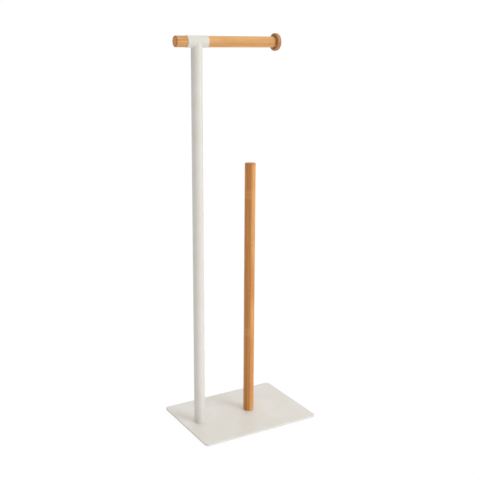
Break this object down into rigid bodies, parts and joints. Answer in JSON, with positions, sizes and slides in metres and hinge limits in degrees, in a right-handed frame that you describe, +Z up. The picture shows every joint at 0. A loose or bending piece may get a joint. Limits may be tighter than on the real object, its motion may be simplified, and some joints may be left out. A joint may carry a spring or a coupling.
{
  "type": "toilet paper stand",
  "caption": "Free-standing toilet paper stand: coated steel plate and tee post, a bamboo bar with an end stop for the roll in use and an upright bamboo rod for spare rolls.",
  "frame": {"origin": "on the floor, under the middle of the whole stand", "axes": "+Z up, +X along the bar towards its stop, +Y away from the viewer across the plate"},
  "size_m": [0.219, 0.154, 0.6365],
  "materials": {
    "coated_steel": "warm white powder coat, fine satin texture",
    "bamboo": "caramel laminated bamboo, clear satin lacquer",
    "plain_steel": "bright zinc plating",
    "brass": "turned, bare",
    "dowel_wood": "bare beech, fluted",
    "pad_rubber": "matt, pale"
  },
  "bodies": {
    "root": {"base_plate": "coated_steel", "foot_front_left": "pad_rubber", "foot_front_right": "pad_rubber", "foot_back_left": "pad_rubber", "foot_back_right": "pad_rubber", "post_tube": "coated_steel", "post_plug": "plain_steel", "post_screw": "plain_steel", "tee_sleeve": "coated_steel", "bar_stub": "bamboo", "roll_bar": "bamboo", "bar_stud": "plain_steel", "stub_insert": "brass", "bar_insert": "brass", "bar_stop": "bamboo", "stop_dowel": "dowel_wood", "spare_rod": "bamboo", "rod_insert": "brass", "rod_screw": "plain_steel"}
  },
  "joints": []
}
